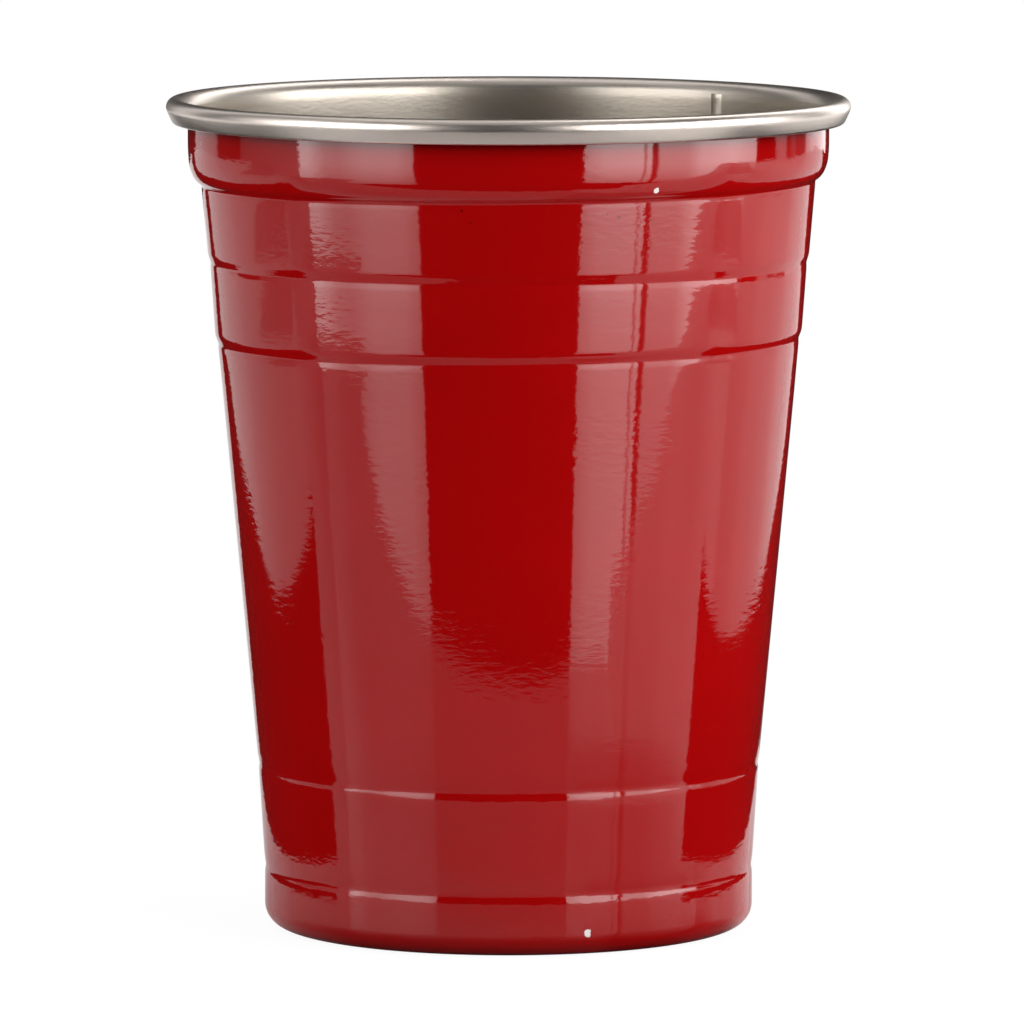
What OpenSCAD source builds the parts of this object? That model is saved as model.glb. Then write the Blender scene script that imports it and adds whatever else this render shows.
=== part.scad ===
/* [Cup] */
// Overall height, from the table to the top of the rolled rim
cup_h = 115.5; // [100:0.1:140]
// Diameter over the rolled rim
rim_d = 94.9; // [88:0.1:110]
// Diameter of the band at the foot
foot_d = 68; // [56:0.5:74]
// Thickness of the steel sheet
wall_t = 0.5; // [0.3:0.05:0.8]

/* [Rolled rim] */
// Diameter of the roll
curl_d = 3.5; // [2.8:0.1:5]
// How far round the sheet is rolled, in degrees
curl_turn = 300; // [200:5:310]

/* [Shoulder] */
// Height of the neck, from the top of the rim down to the shoulder's crease
neck_h = 12; // [10:0.05:18]
// Radius of the wide rounding that leads down from the neck
shoulder_r = 6; // [4:0.1:7]
// How far the wide rounding turns the wall in, in degrees
shoulder_turn = 25; // [10:1:30]
// Radius of the tighter rounding below the wide one
shoulder_edge_r = 2.6; // [2.2:0.1:3.6]
// Slope of the wall at the foot of the shoulder, in degrees from upright
shoulder_slope = 56; // [35:1:65]
// Radius of the hollow bend between that slope and the crease
shoulder_hollow_r = 0.6; // [0.3:0.1:1.5]
// How far the wall steps in below the shoulder
shoulder_step = 1.88; // [1.2:0.02:2.4]
// Depth of the shoulder's crease in the band below it
shoulder_crease = 0.03; // [0.01:0.01:0.3]

/* [Upper rings] */
// Height of the band between the shoulder and the upper ring
upper_band_h = 11; // [6:0.05:16]
// Draft of the band between the shoulder and the upper ring, in degrees
upper_draft = 5.1; // [1:0.1:8]
// How far the wall steps in below the upper ring
upper_step = 0.18; // [0.05:0.01:0.6]
// Slope of the wall in the upper ring, in degrees from upright
upper_slope = 17; // [12:1:45]
// Height of the band between the upper ring and the middle ring
middle_band_h = 10.9; // [6:0.05:16]
// Draft of the band between the upper ring and the middle ring, in degrees
middle_draft = 4; // [1:0.1:8]
// How far the wall steps in below the middle ring
middle_step = 0.3; // [0.05:0.01:0.6]
// Slope of the wall in the middle ring, in degrees from upright
middle_slope = 22; // [12:1:45]
// Radius of the rounding above the slope of these two rings
ring_r = 3.6; // [1.5:0.1:6]
// Radius of the hollow bend below that slope
ring_hollow_r = 1; // [0.3:0.1:2]
// Depth of these two rings' creases in the band below them
ring_crease = 0.06; // [0.01:0.01:0.2]

/* [Lower rings] */
// Height of the foot ring's crease above the table
foot_band_h = 8.45; // [6:0.05:12]
// Height of the band between the foot ring and the low ring
low_band_h = 14.3; // [8:0.1:22]
// Draft of the band between the foot ring and the low ring, in degrees
low_draft = 3.5; // [1:0.1:8]
// Radius of the long rounding above the creases of these two rings
groove_r = 22; // [8:1:40]
// Depth of these two rings' creases in the band below them
groove_crease = 0.14; // [0.05:0.01:0.3]

/* [Creases] */
// Radius of the gentle rounding below every crease
nose_r = 6; // [1.5:0.5:9]

/* [Base] */
// Radius of the rounding between the foot band and the table
foot_r = 3.1; // [1.5:0.05:4.5]
// Width of the flat ring that the cup stands on
stand_w = 1.2; // [0.6:0.1:3]
// Height of the sunken base panel above the table
base_lift = 2; // [1:0.1:5]
// Radius of the two bends between the flat ring and the base panel
base_bend_r = 1; // [0.9:0.1:2]
// Slope of the riser between those bends, in degrees
riser_slope = 60; // [40:1:80]

/* [Weld seam] */
// Width of the bead on the inside of the wall
seam_w = 1.3; // [0.6:0.1:3]
// How far the bead stands proud of the wall
seam_h = 0.12; // [0.05:0.01:0.3]
// Direction of the bead, from +X towards +Y, in degrees
seam_angle = 48; // [0:1:359]

/* [Hidden] */
$fn = 128;
// How far a bend's straight chords may lie from its true arc
arc_tol = 0.03;

// The roll starts where the inside of the neck ends
curl_r = curl_d / 2;
curl_z = cup_h - curl_r;
neck_r = rim_d / 2 - curl_d + wall_t;

// Heights of the creases: three are set down from the rim and two up from the table
shoulder_z = cup_h - neck_h;
upper_ring_z = shoulder_z - upper_band_h;
middle_ring_z = upper_ring_z - middle_band_h;
foot_ring_z = foot_band_h;
low_ring_z = foot_ring_z + low_band_h;

// A band is a straight stretch of wall: [outer radius at its lower end, height of that end, draft]
function face_r(band, z) = band[0] + (z - band[1]) * tan(band[2]);

upper_band = [neck_r - shoulder_step - upper_band_h * tan(upper_draft), upper_ring_z, upper_draft];
middle_band = [upper_band[0] - upper_step - middle_band_h * tan(middle_draft), middle_ring_z, middle_draft];
foot_band = [foot_d / 2, foot_r, 0];
low_band = [foot_d / 2, foot_ring_z, low_draft];

// The long plain band takes up what is left between the middle ring and the low ring
body_top_r = middle_band[0] - middle_step;
body_low_r = face_r(low_band, low_ring_z);
body_draft = atan((body_top_r - body_low_r) / (middle_ring_z - low_ring_z));
body_band = [body_low_r, low_ring_z, body_draft];

// A bend is [centre radius, centre height, radius of the outer face, first look, last look].
// A look is the direction that the outer face looks in, in degrees above the horizontal.
// The radius is negative where the outer face is hollow.
function look(a) = [cos(a), sin(a)];

// Points of a bend at one depth under the outer face, where a round bend narrows to a corner at most
function bend_points(bend, depth) =
    let (
        turn = bend[4] - bend[3],
        radius = bend[2] > 0 ? max(bend[2] - depth, 0) : bend[2] - depth,
        chord_turn = abs(radius) > arc_tol ? 2 * acos(1 - arc_tol / abs(radius)) : 180,
        steps = max(1, ceil(abs(turn) / chord_turn))
    )
    [for (i = [0:steps]) [bend[0], bend[1]] + radius * look(bend[3] + turn * i / steps)];

function face(bends, depth) = [for (bend = bends) each bend_points(bend, depth)];

function reversed(points) = [for (i = [len(points) - 1:-1:0]) points[i]];

// The rounding that ends at point p and looks along a there
function bend_to(p, radius, first, a) = [each (p - radius * look(a)), radius, first, a];

// A ring pressed into the wall, from below: a gentle rounding out of the band below, the crease at
// height z, a hollow bend, a straight slope, and a rounding into the band above. The slope is as steep
// as is asked for, or less where the step between the two bands leaves no room for that.
function ring(z, below, above, crease, hollow_r, slope, round_r) =
    let (
        low = [face_r(below, z) - crease, z],
        nose_look = acos(1 - crease * cos(below[2]) / nose_r) - below[2],
        from_above = cos(nose_look + above[2]),
        fall = (face_r(above, z) - low[0]) * cos(above[2]),
        most_turn = acos((hollow_r * from_above + round_r - fall) / (hollow_r + round_r)),
        turn = min(slope - above[2], most_turn),
        slope_look = -turn - above[2],
        run = (fall - hollow_r * (from_above - cos(turn)) - round_r * (1 - cos(turn))) / sin(turn),
        hollow_centre = low + hollow_r * look(nose_look),
        slope_end = hollow_centre - hollow_r * look(slope_look) + run * look(slope_look + 90)
    )
    [
        bend_to(low, nose_r, -below[2], nose_look),
        [each hollow_centre, -hollow_r, nose_look, slope_look],
        [each (slope_end - round_r * look(slope_look)), round_r, slope_look, -above[2]]
    ];

// The shoulder is a ring whose rounding has two radii: the tight one, and above it the wide one
extra_r = shoulder_r - shoulder_edge_r;
inner_neck = [neck_r - extra_r * (1 - cos(shoulder_turn)), shoulder_z, 0];
shoulder_ring = ring(
    shoulder_z, upper_band, inner_neck, shoulder_crease, shoulder_hollow_r, shoulder_slope, shoulder_edge_r
);
edge_centre = [shoulder_ring[2][0], shoulder_ring[2][1]];
shoulder_bends = [
    shoulder_ring[0],
    shoulder_ring[1],
    [each edge_centre, shoulder_edge_r, shoulder_ring[2][3], -shoulder_turn],
    [each (edge_centre - extra_r * look(-shoulder_turn)), shoulder_r, -shoulder_turn, 0]
];

// The base, from the sunken panel over the riser and the standing ring to the foot band
riser_look = -90 - riser_slope;
heel_r = foot_d / 2 - foot_r - stand_w;
panel_bend_z = base_lift - base_bend_r;
panel_bend_r = heel_r + (2 * base_bend_r - (panel_bend_z - base_bend_r) * sin(riser_look)) / cos(riser_look);
base_bends = [
    [panel_bend_r, panel_bend_z, -base_bend_r, -90, riser_look],
    [heel_r, base_bend_r, base_bend_r, riser_look, -90],
    [foot_d / 2 - foot_r, foot_r, foot_r, -90, 0]
];

ring_bends = concat(
    ring(foot_ring_z, foot_band, low_band, groove_crease, 0, 90, groove_r),
    ring(low_ring_z, low_band, body_band, groove_crease, 0, 90, groove_r),
    ring(middle_ring_z, body_band, middle_band, ring_crease, ring_hollow_r, middle_slope, ring_r),
    ring(upper_ring_z, middle_band, upper_band, ring_crease, ring_hollow_r, upper_slope, ring_r),
    shoulder_bends
);

// The roll, in quarter turns, so that its top and its outer edge are true points of the outline
curl_bends = [
    for (a = [0:90:curl_turn - 1])
        [neck_r + curl_r - wall_t, curl_z, wall_t - curl_r, -a, -min(a + 90, curl_turn)]
];

// Base and wall: one pressed sheet, painted on the outside
module painted_wall() {
    outer = concat([[0, base_lift]], face(base_bends, 0), face(ring_bends, 0), [[neck_r, curl_z]]);
    inner = concat(
        [[0, base_lift + wall_t]],
        face(base_bends, wall_t),
        face(ring_bends, wall_t),
        [[neck_r - wall_t, curl_z]]
    );
    color("firebrick")
        rotate_extrude()
            polygon(concat(outer, reversed(inner)));
}

// The sheet's upper edge, rolled outwards and left bare
module rolled_rim() {
    color("silver")
        rotate_extrude()
            polygon(concat(face(curl_bends, 0), reversed(face(curl_bends, wall_t))));
}

// The seam's bead, one width all the way up the inside of the wall
module weld_seam() {
    root = wall_t / 2;
    crest = wall_t + seam_h;
    root_line = concat([[foot_d / 2 - root, foot_r]], face(ring_bends, root), [[neck_r - root, curl_z]]);
    crest_line = concat([[foot_d / 2 - crest, foot_r]], face(ring_bends, crest), [[neck_r - crest, curl_z]]);
    color("lightgray")
        intersection() {
            rotate_extrude()
                polygon(concat(root_line, reversed(crest_line)));
            rotate([0, 0, seam_angle])
                translate([0, -seam_w / 2, 0])
                    cube([rim_d, seam_w, cup_h]);
        }
}

module cup() {
    painted_wall();
    rolled_rim();
    weld_seam();
}

cup();
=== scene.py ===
import math

import bmesh
import bpy
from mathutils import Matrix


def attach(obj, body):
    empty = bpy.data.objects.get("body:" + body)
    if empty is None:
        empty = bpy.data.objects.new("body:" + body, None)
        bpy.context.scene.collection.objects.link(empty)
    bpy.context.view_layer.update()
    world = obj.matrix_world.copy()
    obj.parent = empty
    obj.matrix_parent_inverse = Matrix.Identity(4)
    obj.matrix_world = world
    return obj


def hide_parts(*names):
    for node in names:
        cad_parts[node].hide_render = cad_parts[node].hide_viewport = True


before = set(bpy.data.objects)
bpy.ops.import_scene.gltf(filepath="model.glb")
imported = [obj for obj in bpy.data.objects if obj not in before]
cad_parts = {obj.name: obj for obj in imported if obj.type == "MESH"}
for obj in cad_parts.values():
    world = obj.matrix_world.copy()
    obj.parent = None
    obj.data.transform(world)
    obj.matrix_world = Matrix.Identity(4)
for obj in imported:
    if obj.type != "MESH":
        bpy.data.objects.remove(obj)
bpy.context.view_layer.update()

MM = 0.001

# Sizes of the cup, in millimetres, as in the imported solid
CUP_H = 115.5
RIM_D = 94.9
FOOT_D = 68.0
WALL_T = 0.5
CURL_D = 3.5
NECK_H = 12.0
SHOULDER_R = 6.0
SHOULDER_TURN = 25.0
SHOULDER_EDGE_R = 2.6
SHOULDER_SLOPE = 56.0
SHOULDER_HOLLOW_R = 0.6
SHOULDER_STEP = 1.88
SHOULDER_CREASE = 0.03
UPPER_BAND_H = 11.0
UPPER_DRAFT = 5.1
UPPER_STEP = 0.18
UPPER_SLOPE = 17.0
MIDDLE_BAND_H = 10.9
MIDDLE_DRAFT = 4.0
MIDDLE_STEP = 0.3
MIDDLE_SLOPE = 22.0
RING_R = 3.6
RING_HOLLOW_R = 1.0
RING_CREASE = 0.06
NOSE_R = 6.0
FOOT_BAND_H = 8.45
LOW_BAND_H = 14.3
LOW_DRAFT = 3.5
GROOVE_R = 22.0
GROOVE_CREASE = 0.14
FOOT_R = 3.1
STAND_W = 1.2
BASE_LIFT = 2.0
BASE_BEND_R = 1.0
RISER_SLOPE = 60.0
SEAM_ANGLE = 48.0

# Finer forms of the roll and the neck: radii and lengths in millimetres, slopes in degrees
ROLL_TOP_R = 1.25
ROLL_INNER_R = 2.0
ROLL_SLOPE = 25.0
ROLL_EDGE_R = 0.6
ROLL_TUCK = 1.1
FLARE_R = 7.0
FLARE_TURN = 9.0
BARREL_R = 28.0
BARREL_TURN = 5.0

# How far the shoulder and the middle ring lean up to the right, and how far from a ring the lean dies out
SHOULDER_LEAN = 0.35
MIDDLE_LEAN = 0.4
LEAN_REACH = 7.0

# The seam's bead, a little bolder than in the solid, with the ripples that a weld leaves in its height.
# The share is of the bead's height, and the rates are in radians per millimetre.
SEAM_W = 1.9
SEAM_H = 0.2
RIPPLE_SHARE = 0.2
RIPPLE_RATE = 4.1
RIPPLE_DRIFT = 1.3
DRIFT_RATE = 0.9

# How finely the lathe mesh follows the section and the turn
ARC_TOL = 0.004
BAND_ROW = 3.0
TURN_STEPS = 256
SEAM_STEPS = 6
# Points closer than this, in millimetres, are one point
SAME_POINT = 1e-4
# Edges that turn by more than this, in degrees, are shaded as sharp
SHARP_ANGLE = 28.0


def sin(angle):
    return math.sin(math.radians(angle))


def cos(angle):
    return math.cos(math.radians(angle))


def tan(angle):
    return math.tan(math.radians(angle))


def acos(value):
    return math.degrees(math.acos(max(-1.0, min(1.0, value))))


# Section of the sheet: the same chain of bends as in the solid, with finer arcs
CURL_R = CURL_D / 2
CURL_Z = CUP_H - CURL_R
NECK_R = RIM_D / 2 - CURL_D + WALL_T
SHOULDER_Z = CUP_H - NECK_H
UPPER_RING_Z = SHOULDER_Z - UPPER_BAND_H
MIDDLE_RING_Z = UPPER_RING_Z - MIDDLE_BAND_H
FOOT_RING_Z = FOOT_BAND_H
LOW_RING_Z = FOOT_RING_Z + LOW_BAND_H


def face_r(band, z):
    return band[0] + (z - band[1]) * tan(band[2])


upper_band = (NECK_R - SHOULDER_STEP - UPPER_BAND_H * tan(UPPER_DRAFT), UPPER_RING_Z, UPPER_DRAFT)
middle_band = (upper_band[0] - UPPER_STEP - MIDDLE_BAND_H * tan(MIDDLE_DRAFT), MIDDLE_RING_Z, MIDDLE_DRAFT)
foot_band = (FOOT_D / 2, FOOT_R, 0.0)
low_band = (FOOT_D / 2, FOOT_RING_Z, LOW_DRAFT)
body_top_r = middle_band[0] - MIDDLE_STEP
body_low_r = face_r(low_band, LOW_RING_Z)
body_draft = math.degrees(math.atan((body_top_r - body_low_r) / (MIDDLE_RING_Z - LOW_RING_Z)))
body_band = (body_low_r, LOW_RING_Z, body_draft)


def bend_points(bend, depth):
    """Points of one bend at a depth under the outer face."""
    centre_r, centre_z, outer_r, first, last = bend
    radius = max(outer_r - depth, 0.0) if outer_r > 0 else outer_r - depth
    turn = last - first
    chord_turn = 2 * acos(1 - ARC_TOL / abs(radius)) if abs(radius) > ARC_TOL else 180.0
    steps = max(1, math.ceil(abs(turn) / chord_turn))
    looks = [first + turn * i / steps for i in range(steps + 1)]
    return [(centre_r + radius * cos(a), centre_z + radius * sin(a)) for a in looks]


def face(bends, depth):
    return [point for bend in bends for point in bend_points(bend, depth)]


def moved(point, distance, angle):
    return (point[0] + distance * cos(angle), point[1] + distance * sin(angle))


def ring(z, below, above, crease, hollow_r, slope, round_r):
    """A ring pressed into the wall: a gentle nose, the crease at height z, a slope and a rounding."""
    low = (face_r(below, z) - crease, z)
    nose_look = acos(1 - crease * cos(below[2]) / NOSE_R) - below[2]
    from_above = cos(nose_look + above[2])
    fall = (face_r(above, z) - low[0]) * cos(above[2])
    most_turn = acos((hollow_r * from_above + round_r - fall) / (hollow_r + round_r))
    turn = min(slope - above[2], most_turn)
    slope_look = -turn - above[2]
    run = (fall - hollow_r * (from_above - cos(turn)) - round_r * (1 - cos(turn))) / sin(turn)
    hollow_centre = moved(low, hollow_r, nose_look)
    slope_end = moved(moved(hollow_centre, -hollow_r, slope_look), run, slope_look + 90)
    return [
        (*moved(low, -NOSE_R, nose_look), NOSE_R, -below[2], nose_look),
        (*hollow_centre, -hollow_r, nose_look, slope_look),
        (*moved(slope_end, -round_r, slope_look), round_r, slope_look, -above[2]),
    ]


def shoulder():
    """The shoulder is a ring whose rounding has two radii: tight at the crease and wide above it."""
    extra_r = SHOULDER_R - SHOULDER_EDGE_R
    barrel_extra_r = BARREL_R - SHOULDER_R
    barrel_fall = barrel_extra_r * (1 - cos(BARREL_TURN))
    inner_neck = (NECK_R - barrel_fall - extra_r * (1 - cos(SHOULDER_TURN)), SHOULDER_Z, 0.0)
    nose, hollow, edge = ring(
        SHOULDER_Z, upper_band, inner_neck,
        SHOULDER_CREASE, SHOULDER_HOLLOW_R, SHOULDER_SLOPE, SHOULDER_EDGE_R,
    )
    wide_centre = moved(edge[:2], -extra_r, -SHOULDER_TURN)
    barrel_centre = moved(wide_centre, -barrel_extra_r, -BARREL_TURN)
    return [
        nose,
        hollow,
        (*edge[:4], -SHOULDER_TURN),
        (*wide_centre, SHOULDER_R, -SHOULDER_TURN, -BARREL_TURN),
        (*barrel_centre, BARREL_R, -BARREL_TURN, 0.0),
    ]


riser_look = -90 - RISER_SLOPE
heel_r = FOOT_D / 2 - FOOT_R - STAND_W
panel_bend_z = BASE_LIFT - BASE_BEND_R
panel_bend_r = heel_r + (2 * BASE_BEND_R - (panel_bend_z - BASE_BEND_R) * sin(riser_look)) / cos(riser_look)
base_bends = [
    (panel_bend_r, panel_bend_z, -BASE_BEND_R, -90, riser_look),
    (heel_r, BASE_BEND_R, BASE_BEND_R, riser_look, -90),
    (FOOT_D / 2 - FOOT_R, FOOT_R, FOOT_R, -90, 0),
]
ring_bends = (
    ring(FOOT_RING_Z, foot_band, low_band, GROOVE_CREASE, 0.0, 90.0, GROOVE_R)
    + ring(LOW_RING_Z, low_band, body_band, GROOVE_CREASE, 0.0, 90.0, GROOVE_R)
    + ring(MIDDLE_RING_Z, body_band, middle_band, RING_CREASE, RING_HOLLOW_R, MIDDLE_SLOPE, RING_R)
    + ring(UPPER_RING_Z, middle_band, upper_band, RING_CREASE, RING_HOLLOW_R, UPPER_SLOPE, RING_R)
    + shoulder()
)
# The roll: round inside and on top, with a straight slope below its widest point and a tight lower edge
roll_bends = [
    (RIM_D / 2 - ROLL_TOP_R, CUP_H - ROLL_INNER_R, WALL_T - ROLL_INNER_R, -FLARE_TURN, -90),
    (RIM_D / 2 - ROLL_TOP_R, CUP_H - ROLL_TOP_R, WALL_T - ROLL_TOP_R, -90, -180 - ROLL_SLOPE),
]
slope_start = moved(roll_bends[1][:2], ROLL_TOP_R, -ROLL_SLOPE)
edge_z = CUP_H - CURL_D + ROLL_EDGE_R
slope_fall = slope_start[1] - (edge_z - ROLL_EDGE_R * sin(ROLL_SLOPE))
edge_centre_r = slope_start[0] - slope_fall * tan(ROLL_SLOPE) - ROLL_EDGE_R * cos(ROLL_SLOPE)
roll_bends += [
    (edge_centre_r, edge_z, WALL_T - ROLL_EDGE_R, -180 - ROLL_SLOPE, -270),
    (edge_centre_r - ROLL_TUCK, edge_z, WALL_T - ROLL_EDGE_R, -270, -270),
]
# Inside, the neck leans out a little before it turns into the roll
roll_start = bend_points(roll_bends[0], WALL_T)[0]
flare_low = (NECK_R - WALL_T, roll_start[1] - FLARE_R * sin(FLARE_TURN))
flare = (flare_low[0] + FLARE_R, flare_low[1], -FLARE_R, 0, -FLARE_TURN)


def with_rows(points, row):
    """The same outline with long straight stretches cut into rows, and doubled points dropped."""
    out = [points[0]]
    for point in points[1:]:
        before = out[-1]
        length = math.dist(before, point)
        if length < SAME_POINT:
            continue
        steps = max(1, math.ceil(length / row))
        for i in range(1, steps + 1):
            t = i / steps
            out.append((before[0] + (point[0] - before[0]) * t, before[1] + (point[1] - before[1]) * t))
    return out


outer_line = with_rows([(0.0, BASE_LIFT)] + face(base_bends + ring_bends, 0) + [(NECK_R, CURL_Z)], BAND_ROW)
roll_line = with_rows(face(roll_bends, 0) + face(roll_bends, WALL_T)[::-1], BAND_ROW)
inner_line = with_rows(
    [(0.0, BASE_LIFT + WALL_T)] + face(base_bends + ring_bends, WALL_T) + bend_points(flare, 0), BAND_ROW
)[::-1]

# The turn: even steps, with more of them where the seam runs. The spread is half the bead's width.
seam_spread = math.degrees(SEAM_W / (NECK_R + RIM_D / 2 - CURL_R))
even_angles = {round(i * 360 / TURN_STEPS, 4) for i in range(TURN_STEPS)}
seam_angles = {
    round(SEAM_ANGLE + seam_spread * k / SEAM_STEPS, 4) for k in range(-SEAM_STEPS - 1, SEAM_STEPS + 2)
}
turn_angles = sorted(even_angles | seam_angles)


def seam_rise(azimuth, z):
    """How far the weld's bead stands out of the inner wall."""
    off = (azimuth - SEAM_ANGLE) / seam_spread
    if abs(off) >= 1:
        return 0.0
    along = z * RIPPLE_RATE + RIPPLE_DRIFT * math.sin(z * DRIFT_RATE)
    ripple = 1 - RIPPLE_SHARE + RIPPLE_SHARE * math.sin(along)
    return SEAM_H * ripple * (1 - off * off)


def lean_rise(azimuth, z):
    """How far the pressing lifts a point near the shoulder or the middle ring."""
    rise = 0.0
    for ring_z, lean in ((SHOULDER_Z, SHOULDER_LEAN), (MIDDLE_RING_Z, MIDDLE_LEAN)):
        off = (z - ring_z) / LEAN_REACH
        if abs(off) < 1:
            rise += lean * (1 - off * off) ** 2
    return rise * cos(azimuth)


def skin_point(r, z, azimuth, has_seam):
    """A point of the section at one azimuth, in metres, after the seam and the lean have moved it."""
    radius = r - (seam_rise(azimuth, z) if has_seam else 0.0)
    height = z + lean_rise(azimuth, z)
    return (radius * cos(azimuth) * MM, radius * sin(azimuth) * MM, height * MM)


def skin_rows(bm, lines):
    """Rows of vertices, one for each point of the section, as (point, vertices, material)."""
    rows = []
    for points, material, has_seam in lines:
        for r, z in points:
            if rows and math.dist(rows[-1][0], (r, z)) < SAME_POINT:
                rows[-1] = (rows[-1][0], rows[-1][1], material)
                continue
            if r < SAME_POINT:
                verts = [bm.verts.new((0, 0, z * MM))] * len(turn_angles)
            else:
                verts = [bm.verts.new(skin_point(r, z, azimuth, has_seam)) for azimuth in turn_angles]
            rows.append(((r, z), verts, material))
    return rows


def lathe(name, lines):
    """A closed skin turned from a section that starts and ends on the axis.

    lines holds the parts of that section as (points, material, whether the seam runs there).
    """
    mesh = bpy.data.meshes.new(name)
    bm = bmesh.new()
    rows = skin_rows(bm, lines)
    count = len(turn_angles)
    for (_, low, material), (_, high, _) in zip(rows, rows[1:]):
        for i in range(count):
            j = (i + 1) % count
            corners = list(dict.fromkeys((low[i], low[j], high[j], high[i])))
            made = bm.faces.new(corners)
            made.smooth = True
            made.material_index = material
    bmesh.ops.recalc_face_normals(bm, faces=bm.faces)
    bm.to_mesh(mesh)
    bm.free()
    piece = bpy.data.objects.new(name, mesh)
    bpy.context.scene.collection.objects.link(piece)
    return piece


class Nodes:
    """Short calls for building a node tree."""

    def __init__(self, tree):
        self.tree = tree
        tree.nodes.clear()

    def add(self, kind, inputs=None, **settings):
        node = self.tree.nodes.new(kind)
        for key, value in settings.items():
            setattr(node, key, value)
        for key, value in (inputs or {}).items():
            if isinstance(value, bpy.types.NodeSocket):
                self.tree.links.new(value, node.inputs[key])
            else:
                node.inputs[key].default_value = value
        return node

    def math(self, operation, a, b=0.0, clamp=False):
        return self.add("ShaderNodeMath", {0: a, 1: b}, operation=operation, use_clamp=clamp).outputs[0]

    def times(self, a, b):
        return self.math("MULTIPLY", a, b)

    def above(self, value, limit):
        return self.math("GREATER_THAN", value, limit)

    def below(self, value, limit):
        return self.math("LESS_THAN", value, limit)

    def vector(self, operation, a, b=(0, 0, 0)):
        return self.add("ShaderNodeVectorMath", {0: a, 1: b}, operation=operation).outputs[0]

    def scaled(self, vector, factor):
        return self.add("ShaderNodeVectorMath", {0: vector, 3: factor}, operation="SCALE").outputs[0]

    def length(self, vector):
        return self.add("ShaderNodeVectorMath", {0: vector}, operation="LENGTH").outputs["Value"]

    def distance(self, a, b):
        return self.add("ShaderNodeVectorMath", {0: a, 1: b}, operation="DISTANCE").outputs["Value"]

    def split(self, vector):
        return self.add("ShaderNodeSeparateXYZ", {0: vector}).outputs

    def noise(self, vector, detail, scale=1.0):
        inputs = {"Vector": vector, "Scale": scale, "Detail": detail}
        return self.add("ShaderNodeTexNoise", inputs).outputs["Fac"]

    def mix(self, share, a, b):
        return self.add("ShaderNodeMix", {0: share, 2: a, 3: b}).outputs[0]

    def mix_colour(self, share, a, b):
        return self.add("ShaderNodeMix", {0: share, 6: a, 7: b}, data_type="RGBA").outputs[2]

    def mix_shader(self, share, a, b):
        return self.add("ShaderNodeMixShader", {0: share, 1: a, 2: b}).outputs[0]

    def add_shader(self, a, b):
        return self.add("ShaderNodeAddShader", {0: a, 1: b}).outputs[0]

    def matt(self, colour):
        return self.add("ShaderNodeBsdfDiffuse", {"Color": colour}).outputs[0]

    def glow(self, strength):
        return self.add("ShaderNodeEmission", {"Color": WHITE, "Strength": strength}).outputs[0]

    def bump(self, height, distance):
        inputs = {"Height": height, "Strength": 1.0, "Distance": distance}
        return self.add("ShaderNodeBump", inputs).outputs[0]

    def ramp(self, value, stops):
        """A ramp over stops of (value, colour or level), with all values between 0 and 1."""
        node = self.add("ShaderNodeValToRGB", {"Fac": value})
        ramp = node.color_ramp
        while len(ramp.elements) > 1:
            ramp.elements.remove(ramp.elements[-1])
        ramp.elements[0].position = stops[0][0]
        ramp.elements[0].color = solid(stops[0][1])
        for position, colour in stops[1:]:
            ramp.elements.new(position).color = solid(colour)
        return node.outputs["Color"]

    def span_ramp(self, value, stops):
        """A ramp over stops of (value, level), from the first value to the last, of any size."""
        first, last = stops[0][0], stops[-1][0]
        along = self.math("DIVIDE", self.math("SUBTRACT", value, first), last - first, clamp=True)
        top = max(level for _, level in stops)
        level = self.ramp(along, [((a - first) / (last - first), b / top) for a, b in stops])
        return self.times(level, top)


WHITE = (1, 1, 1, 1)


def solid(colour):
    """A colour with full alpha, from three numbers or from one for a grey."""
    return (colour, colour, colour, 1.0) if isinstance(colour, (int, float)) else (*colour, 1.0)


def new_material(name):
    material = bpy.data.materials.new(name)
    material.use_nodes = True
    return material, Nodes(material.node_tree)


def stretched_noise(n, point, across, up, detail):
    """Noise over the object's own coordinates, scaled apart across and up, so that it runs round the cup."""
    return n.noise(n.vector("MULTIPLY", point, (across, across, up)), detail)


def azimuth_of(n, x, y):
    """Azimuth in degrees: 0 in front of the cup, 90 on its right."""
    return n.times(n.math("ARCTAN2", x, n.times(y, -1.0)), 180 / math.pi)


# Noise values at which a cloud is at its darkest and at its palest
CLOUD_LOW = 0.3
CLOUD_HIGH = 0.7

# Noises of the enamel and the steel: cells per metre across, cells per metre up, and detail
ENAMEL_CLOUDS = (30, 60, 3.0)
ENAMEL_WAVES = (500, 1400, 2.0)
WAVE_PATCHES = (60, 90, 1.0)
STEEL_CLOUDS = (40, 120, 4.0)
STEEL_GRAIN = (900, 2200, 3.0)

# The enamel, with the depth of its waves in millimetres
ENAMEL_DARK = (0.300, 0.0008, 0.0011)
ENAMEL_PALE = (0.330, 0.0010, 0.0014)
ENAMEL_ROUGHNESS = 0.045
GLOSS_IOR = 1.5
WAVE_DEPTH = 0.025
# Waves are weak where the patches' noise is low, and full where it is high
WAVE_SHARE = [(0.35, 0.25), (0.65, 1.0)]
# Under the roll the enamel's colour is duller and darker, as painted shade from the roll's overhang: height
# in metres, and share of the colour
UNDER_ROLL_PAINTED_SHADE = [(0.1085, 1.0), (0.1101, 0.9), (0.1110, 0.72), (0.1114, 0.55), (0.1119, 0.25)]

# Marks on the outside: azimuth in degrees from the front to the right, height and size in mm, and colour
GROUND_COAT = (0.80, 0.74, 0.70)
FOOT_GROUND_COAT = (0.80, 0.76, 0.74)
DARK_SPECK = (0.10, 0.001, 0.002)
MARKS = [
    (27.1, 105.4, 0.42, GROUND_COAT),
    (18.5, 3.2, 0.60, FOOT_GROUND_COAT),
    (18.3, 102.3, 0.20, DARK_SPECK),
    (20.6, 101.8, 0.20, DARK_SPECK),
    (-8.5, 102.9, 0.17, DARK_SPECK),
    (-6.9, 101.3, 0.17, DARK_SPECK),
]
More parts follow.
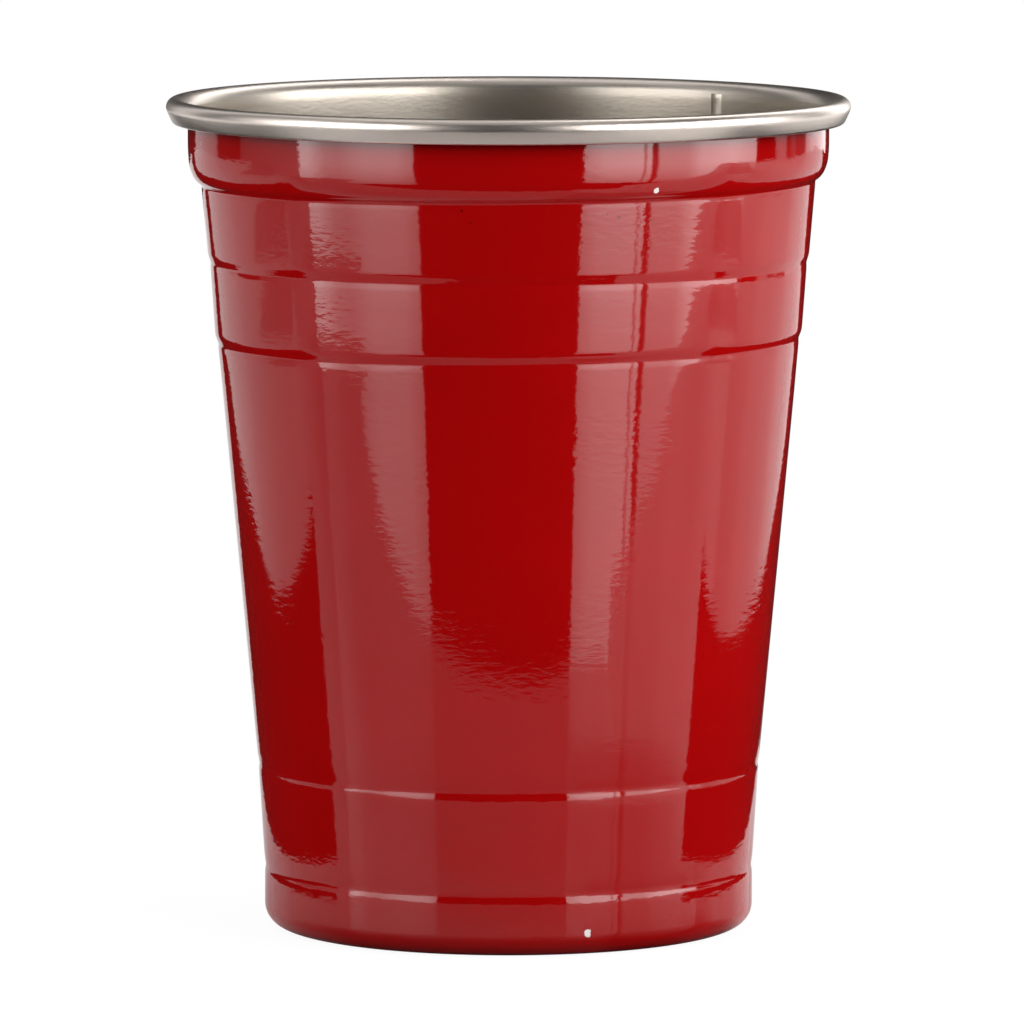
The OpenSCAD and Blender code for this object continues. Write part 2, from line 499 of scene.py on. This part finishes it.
# Marks are placed on the wall as if it were a cylinder of this radius, in millimetres
MARK_R = 40.0
# A fine noise makes them ragged: its cells per metre, its detail, and what is added to it
MARK_GRAIN = 1500.0
MARK_DETAIL = 1.0
MARK_LEAST = 0.4


def with_marks(n, point, colour):
    """Small chips show the pale ground coat, and specks of dust lie in the coat."""
    ragged = n.noise(point, MARK_DETAIL, MARK_GRAIN)
    look = n.vector("NORMALIZE", n.vector("MULTIPLY", point, (1, 1, 0)))
    upright = n.vector("MULTIPLY", point, (0, 0, 1))
    on_cylinder = n.vector("ADD", n.scaled(look, MARK_R * MM), upright)
    for turn, z, size, tint in MARKS:
        place = (MARK_R * sin(turn) * MM, -MARK_R * cos(turn) * MM, z * MM)
        edge = n.times(n.math("ADD", ragged, MARK_LEAST), size * MM)
        mark = n.below(n.distance(on_cylinder, place), edge)
        colour = n.mix_colour(mark, colour, solid(tint))
    return colour


def red_enamel():
    material, n = new_material("red_enamel")
    point = n.add("ShaderNodeTexCoord").outputs["Object"]
    clouds = stretched_noise(n, point, *ENAMEL_CLOUDS)
    colour = n.ramp(clouds, [(CLOUD_LOW, ENAMEL_DARK), (CLOUD_HIGH, ENAMEL_PALE)])
    # Painted shade: the enamel's colour is darkened just under the roll
    colour = n.scaled(colour, n.span_ramp(n.split(point)[2], UNDER_ROLL_PAINTED_SHADE))
    colour = with_marks(n, point, colour)
    # Short waves run round the coat, stronger in some patches than in others
    waves = stretched_noise(n, point, *ENAMEL_WAVES)
    patches = stretched_noise(n, point, *WAVE_PATCHES)
    height = n.times(waves, n.ramp(patches, WAVE_SHARE))
    shader = n.add(
        "ShaderNodeBsdfPrincipled",
        {
            "Base Color": colour,
            "Roughness": ENAMEL_ROUGHNESS,
            "IOR": GLOSS_IOR,
            "Normal": n.bump(height, WAVE_DEPTH * MM),
        },
    )
    n.add("ShaderNodeOutputMaterial", {"Surface": shader.outputs[0]})
    return material


# The bare steel, darkest and palest, with the depth of its grain in millimetres. The inside's colours are
# darker than the roll's, as painted shade inside the cup, and the roll's paler colours are painted light on
# the same steel
INSIDE_PAINTED_SHADE_COLOURS = [(0.47, 0.42, 0.36), (0.53, 0.48, 0.415)]
INSIDE_ROUGHNESS = [0.33, 0.40]
ROLL_PAINTED_LIGHT_COLOURS = [(0.76, 0.67, 0.60), (0.84, 0.75, 0.68)]
ROLL_ROUGHNESS = [0.28, 0.35]
GRAIN_DEPTH = 0.018
# Radius in metres at which the dull inside, with its painted shade, gives way to the smoother roll with its
# painted light
ROLL_SHARE = [(0.0442, 0.0), (0.0448, 1.0)]
# Height in metres below which the inside's colour is darkened as painted shade deeper in the cup, and share
# of the colour
INSIDE_PAINTED_SHADE = [(0.1095, 0.78), (0.113, 1.0)]


def bare_steel():
    material, n = new_material("bare_steel")
    point = n.add("ShaderNodeTexCoord").outputs["Object"]
    clouds = stretched_noise(n, point, *STEEL_CLOUDS)
    grain = stretched_noise(n, point, *STEEL_GRAIN)

    def clouded(ends):
        return n.ramp(clouds, [(CLOUD_LOW, ends[0]), (CLOUD_HIGH, ends[1])])

    on_roll = n.span_ramp(n.length(n.vector("MULTIPLY", point, (1, 1, 0))), ROLL_SHARE)
    # Painted shade: the inside's colour is darker lower down in the cup
    inside_painted_shade = n.span_ramp(n.split(point)[2], INSIDE_PAINTED_SHADE)
    inside_painted_shade_colour = n.scaled(clouded(INSIDE_PAINTED_SHADE_COLOURS), inside_painted_shade)
    shader = n.add(
        "ShaderNodeBsdfPrincipled",
        {
            # The inside's darker colour is painted shade, and the roll's paler colour is painted light
            "Base Color": n.mix_colour(on_roll, inside_painted_shade_colour, clouded(ROLL_PAINTED_LIGHT_COLOURS)),
            "Metallic": 1.0,
            "Roughness": n.mix_colour(on_roll, clouded(INSIDE_ROUGHNESS), clouded(ROLL_ROUGHNESS)),
            "Normal": n.bump(grain, GRAIN_DEPTH * MM),
        },
    )
    n.add("ShaderNodeOutputMaterial", {"Surface": shader.outputs[0]})
    return material


# The cup is one piece: the outer wall is enamelled, and the roll and the inside are bare
ENAMEL, STEEL = 0, 1
cup = lathe(
    "party_cup",
    [(outer_line, ENAMEL, False), (roll_line, STEEL, False), (inner_line, STEEL, True)],
)
cup.data.materials.append(red_enamel())
cup.data.materials.append(bare_steel())
cup.data.set_sharp_from_angle(angle=math.radians(SHARP_ANGLE))
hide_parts("cup")
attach(cup, "root")


# The studio: a white table, a wide softbox on each side, one overhead, and a dark room with some pale walls.
# Places are in metres with the cup at the middle, and y runs away from the camera.
# The softboxes and the walls show in the cup's gloss, and this level brings them all up together.
MIRROR_LEVEL = 1.33

# The table's front edge, with the bays and corners that the photograph shows mirrored in the enamel
TABLE_FRONT = [
    (-0.9, 0.02), (-0.46, -0.02), (-0.46, -0.100), (-0.39, -0.195), (-0.335, -0.235), (-0.27, -0.168),
    (-0.16, -0.159), (0.0, -0.159), (0.070, -0.149), (0.104, -0.136), (0.107, -0.128),
    (0.141, -0.163), (0.212, -0.158), (0.250, -0.146), (0.9, -0.146),
]
TABLE_BACK = 1.2
TABLE_SIDE = 0.9
TABLE_GLOSS = 0.25
TABLE_ROUGHNESS = 0.06

# The dark cloth on the table: its front edge, and how far it reaches to each side at each y
CLOTH_FRONT = -0.0265
CLOTH_LEFT = [
    (-0.0265, 0.285), (-0.015, 0.272), (0.014, 0.256), (0.05, 0.241), (0.10, 0.236), (0.15, 0.245),
    (0.25, 0.275), (0.40, 0.290), (0.64, 0.36), (0.72, 0.39), (1.2, 0.60),
]
CLOTH_RIGHT = [
    (-0.0265, 0.0), (-0.0225, 0.0), (-0.022, 0.258), (0.0, 0.222), (0.03, 0.208), (0.10, 0.206),
    (0.15, 0.212), (0.20, 0.214), (0.30, 0.225), (0.47, 0.232), (0.64, 0.29), (1.2, 0.60),
]
# Its inner edge runs outwards behind the cup on the left, and on the right its far part is only dim
CLOTH_INNER_LEFT = [(0.13, 0.075), (0.20, 0.10), (0.33, 0.15), (0.42, 0.185), (1.2, 0.45)]
CLOTH_INNER_RIGHT = 0.075
CLOTH_DIM_FROM = 0.17
CLOTH_DIM = 0.8
CLOTH_COLOUR = 0.02
# Two more dark things lie far out: side, nearest x on that side, front y and back y
FAR_THINGS = [(-1.0, 0.476, 0.0, 0.19), (1.0, 0.465, -0.075, 0.06)]
FAR_THING_DIM = 0.45

# Tones of the white sheet: in front of the cup by y, and on its right by the distance from its axis
FRONT_TONE = [(-0.08, 0.5), (-0.01, 0.95)]
RIGHT_TONE = [(0.07, 0.36), (0.123, 0.34), (0.133, 0.80), (0.25, 0.92)]
# Azimuth in degrees, and how far the tone of the right side holds there
RIGHT_SIDE = [(22, 0.0), (27, 1.0), (66, 1.0), (80, 0.0)]
# Close to the foot the sheet is duller, as a painted shadow of the cup, by the distance from the axis, but
# only in front of the cup
FOOT_PAINTED_SHADOW = [(0.036, 0.2), (0.041, 0.5), (0.047, 1.0)]
IN_FRONT = [(-0.025, 1.0), (-0.005, 0.0)]
# What the sheet glows with towards the back, by y
BACK_GLOW = [(0.05, 0.0), (0.3, 0.22), (1.2, 0.55)]

# To the camera the table is white, and its shadow dies out between these distances from the axis
SHADOW_FROM = 0.06
SHADOW_TO = 0.2
SHADOW_DEPTH = 0.12
SHADOW_GLOW = 0.93


def flat_mesh(name, corners, faces):
    mesh = bpy.data.meshes.new(name)
    mesh.from_pydata(corners, [], faces)
    made = bpy.data.objects.new(name, mesh)
    bpy.context.scene.collection.objects.link(made)
    return made


def cloth_share(n, x, y):
    """How dark the table is: 1 on the cloth behind the cup, except where the cup stands."""
    leftwards = n.times(x, -1.0)
    left = n.below(leftwards, n.span_ramp(y, CLOTH_LEFT))
    right = n.below(x, n.span_ramp(y, CLOTH_RIGHT))
    beside_left = n.above(leftwards, n.span_ramp(y, CLOTH_INNER_LEFT))
    beside_right = n.above(x, CLOTH_INNER_RIGHT)
    far_right = n.times(n.above(y, CLOTH_DIM_FROM), n.above(x, 0.0))
    beside = n.math("MAXIMUM", beside_left, beside_right)
    open_part = n.math("MAXIMUM", beside, n.times(far_right, CLOTH_DIM))
    share = n.times(n.times(left, right), n.times(n.above(y, CLOTH_FRONT), open_part))
    for side, near_x, front_y, back_y in FAR_THINGS:
        out = n.above(n.times(x, side), near_x)
        within = n.times(n.above(y, front_y), n.below(y, back_y))
        share = n.math("MAXIMUM", share, n.times(n.times(out, within), FAR_THING_DIM))
    return share


def sheet_tone(n, x, y, away):
    """The white sheet is duller in front of the cup and to its right, and duller still close to its foot,
    where the cup's shadow is painted.
    """
    on_right = n.span_ramp(azimuth_of(n, x, y), RIGHT_SIDE)
    side_tone = n.mix(on_right, n.span_ramp(y, FRONT_TONE), n.span_ramp(away, RIGHT_TONE))
    # Painted shadow of the cup on the sheet close to its foot
    foot_painted_shadow = n.mix(n.span_ramp(y, IN_FRONT), 1.0, n.span_ramp(away, FOOT_PAINTED_SHADOW))
    return n.times(side_tone, foot_painted_shadow)


def camera_white(n, away):
    """What the camera sees is plain white, with the cup's own shadow kept where the cup stands."""
    shaded = n.add_shader(n.matt(solid(SHADOW_DEPTH)), n.glow(SHADOW_GLOW))
    span = {"Value": away, "From Min": SHADOW_FROM, "From Max": SHADOW_TO}
    fade = n.add("ShaderNodeMapRange", span).outputs[0]
    return n.mix_shader(fade, shaded, n.glow(1.0))


def table_material():
    material, n = new_material("table")
    coords = n.add("ShaderNodeTexCoord").outputs["Object"]
    x, y, _ = n.split(coords)
    away = n.length(coords)
    tone = sheet_tone(n, x, y, away)
    gloss = n.add(
        "ShaderNodeBsdfPrincipled",
        {"Base Color": tone, "Roughness": TABLE_ROUGHNESS, "IOR": GLOSS_IOR},
    )
    sheet = n.mix_shader(TABLE_GLOSS, n.matt(tone), gloss.outputs[0])
    # Towards the back the sheet is lit like the backdrop
    white = n.add_shader(sheet, n.glow(n.span_ramp(y, BACK_GLOW)))
    real = n.mix_shader(cloth_share(n, x, y), white, n.matt(solid(CLOTH_COLOUR)))
    to_camera = n.add("ShaderNodeLightPath").outputs["Is Camera Ray"]
    surface = n.mix_shader(to_camera, real, camera_white(n, away))
    n.add("ShaderNodeOutputMaterial", {"Surface": surface})
    return material


table = flat_mesh(
    "table",
    [(x, y, 0) for x, y in TABLE_FRONT] + [(TABLE_SIDE, TABLE_BACK, 0), (-TABLE_SIDE, TABLE_BACK, 0)],
    [tuple(range(len(TABLE_FRONT) + 2))],
)
table.data.materials.append(table_material())

# Softboxes: azimuth in degrees and strength, and for both of them height in metres and share
SOFTBOX_R = 1.0
SOFTBOX_STEPS = 24
SOFTBOX_UP = [
    (-0.32, 0.36), (-0.25, 0.46), (-0.18, 0.6), (-0.14, 0.64), (0.01, 1.15), (0.45, 1.0), (0.77, 0.5),
]
# The dark stripe at 52 degrees is a gap in the softbox, as in the photograph's reflection
RIGHT_SOFTBOX = [
    (26.8, 2.5), (34, 3.6), (48.2, 3.95), (48.5, 1.5), (49.3, 1.5), (49.6, 3.7), (51.3, 3.7),
    (51.8, 0.12), (53.6, 0.12), (54.4, 2.6), (66, 2.6), (72, 4.0), (86, 4.3), (98, 2.7),
]
LEFT_SOFTBOX = [(-79, 3.4), (-75, 3.4), (-68, 2.0), (-62, 1.8), (-52, 2.6), (-40, 2.6), (-33.4, 1.8)]


def at_mirror_level(stops):
    return [(place, level * MIRROR_LEVEL) for place, level in stops]


def softbox(name, across):
    """A curved softbox round the cup, from the first azimuth of across to its last."""
    first, last = across[0][0], across[-1][0]
    corners = []
    faces = []
    for i in range(SOFTBOX_STEPS + 1):
        azimuth = first + (last - first) * i / SOFTBOX_STEPS
        for z in (SOFTBOX_UP[0][0], SOFTBOX_UP[-1][0]):
            corners.append((SOFTBOX_R * sin(azimuth), -SOFTBOX_R * cos(azimuth), z))
        if i:
            k = 2 * i
            faces.append((k - 2, k, k + 1, k - 1))
    made = flat_mesh(name, corners, faces)
    made.visible_camera = False
    material, n = new_material(name)
    x, y, z = n.split(n.add("ShaderNodeTexCoord").outputs["Object"])
    strength = n.times(n.span_ramp(azimuth_of(n, x, y), at_mirror_level(across)), n.span_ramp(z, SOFTBOX_UP))
    n.add("ShaderNodeOutputMaterial", {"Surface": n.glow(strength)})
    made.data.materials.append(material)


softbox("right_softbox", RIGHT_SOFTBOX)
softbox("left_softbox", LEFT_SOFTBOX)

# The overhead softbox: strength, size across and away, and place
OVERHEAD_LEVEL = 0.4
OVERHEAD_X = 1.0
OVERHEAD_Y = 1.3
OVERHEAD_PLACE = (0, -0.05, 0.95)


def overhead_softbox():
    lamp = bpy.data.lights.new("overhead", "AREA")
    lamp.shape = "RECTANGLE"
    lamp.size = OVERHEAD_X
    lamp.size_y = OVERHEAD_Y
    lamp.energy = OVERHEAD_LEVEL * math.pi * OVERHEAD_X * OVERHEAD_Y
    made = bpy.data.objects.new("overhead", lamp)
    made.location = OVERHEAD_PLACE
    bpy.context.scene.collection.objects.link(made)


overhead_softbox()

# The room in the cup's gloss: azimuth in degrees and strength of its walls, and how bright its floor is
ROOM_WALLS = [
    (-180, 0.012), (-153, 0.012), (-152, 0.6), (-130, 0.5), (-128, 0.04), (-112, 0.04), (-111, 0.2),
    (-82, 0.5), (-81, 0.45), (-78, 0.012), (104, 0.012), (111.5, 0.02), (112.3, 0.7), (118.5, 0.65),
    (119.3, 0.08), (122, 0.08), (122.6, 0.25), (125, 0.2), (126, 0.1), (133.5, 0.1), (135, 0.9),
    (140, 1.3), (160, 1.8), (161, 0.012), (180, 0.012),
]
ROOM_FLOOR = 0.02
# Height of the look direction below which the room's floor shows
FLOOR_LOOK = -0.33
# Soft light from the room for everything that isn't a mirror
ROOM_AMBIENT = [(-180, 0.6), (-90, 0.55), (-60, 0.05), (60, 0.05), (90, 0.55), (180, 0.6)]


def room_world():
    """White to the camera, a dark room with pale walls to the cup's gloss, and soft light to the rest."""
    world = bpy.data.worlds.new("room")
    world.use_nodes = True
    n = Nodes(world.node_tree)
    x, y, z = n.split(n.add("ShaderNodeTexCoord").outputs["Generated"])
    azimuth = azimuth_of(n, x, y)
    room = n.mix(n.below(z, FLOOR_LOOK), n.span_ramp(azimuth, at_mirror_level(ROOM_WALLS)), ROOM_FLOOR)
    path = n.add("ShaderNodeLightPath")
    unseen = n.mix(path.outputs["Is Glossy Ray"], n.span_ramp(azimuth, ROOM_AMBIENT), room)
    level = n.mix(path.outputs["Is Camera Ray"], unseen, 1.0)
    background = n.add("ShaderNodeBackground", {"Color": WHITE, "Strength": level})
    n.add("ShaderNodeOutputWorld", {"Surface": background.outputs[0]})
    return world


bpy.context.scene.world = room_world()

# The photograph's camera: lens and sensor in millimetres, place in millimetres, and how far it looks down
CAMERA_LENS = 355.6
CAMERA_SENSOR = 36
CAMERA_X = 0.49
CAMERA_Y = -1400
CAMERA_Z = 206.3
CAMERA_DOWN = 6.06
# Nearest and farthest distance that it sees, in metres
CAMERA_NEAR = 0.05
CAMERA_FAR = 20


def set_camera():
    lens = bpy.data.cameras.new("camera")
    lens.lens = CAMERA_LENS
    lens.sensor_width = CAMERA_SENSOR
    lens.clip_start = CAMERA_NEAR
    lens.clip_end = CAMERA_FAR
    made = bpy.data.objects.new("camera", lens)
    made.location = (CAMERA_X * MM, CAMERA_Y * MM, CAMERA_Z * MM)
    made.rotation_euler = (math.radians(90 - CAMERA_DOWN), 0, 0)
    bpy.context.scene.collection.objects.link(made)
    bpy.context.scene.camera = made


set_camera()
bpy.context.scene.view_settings.view_transform = "Standard"
